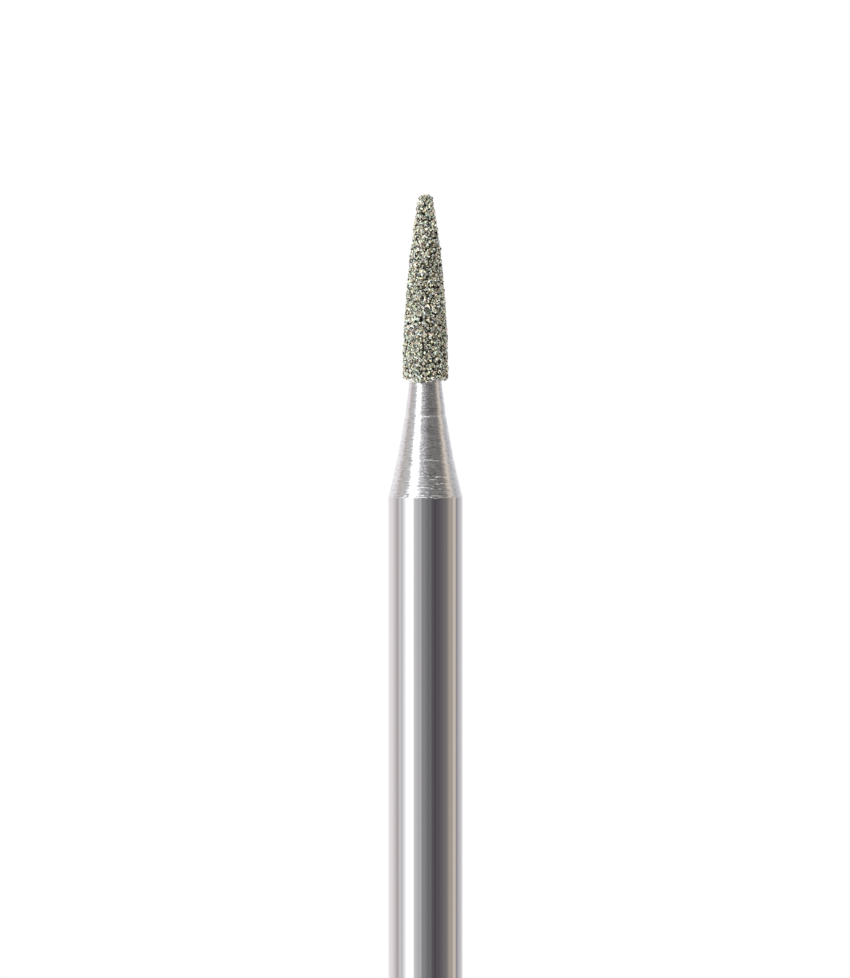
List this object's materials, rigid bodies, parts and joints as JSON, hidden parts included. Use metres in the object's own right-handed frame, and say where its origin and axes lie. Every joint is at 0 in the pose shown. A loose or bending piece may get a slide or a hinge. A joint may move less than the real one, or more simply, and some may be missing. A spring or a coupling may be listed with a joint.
{
  "type": "dental bur",
  "caption": "Flame-shaped diamond grinding head on a flared neck and a long plain straight handpiece shank.",
  "frame": {"origin": "centre of the flat end face of the shank", "axes": "+Z along the axis of rotation, from the shank's end to the tip of the head"},
  "size_m": [0.0024, 0.0024, 0.0445],
  "materials": {
    "turned_steel": "ground and polished shank, fine turning marks on the neck",
    "diamond_in_nickel": "coarse diamond grit bedded in plated nickel"
  },
  "bodies": {
    "root": {"steel_blank": "turned_steel", "diamond_coating": "diamond_in_nickel"}
  },
  "joints": []
}
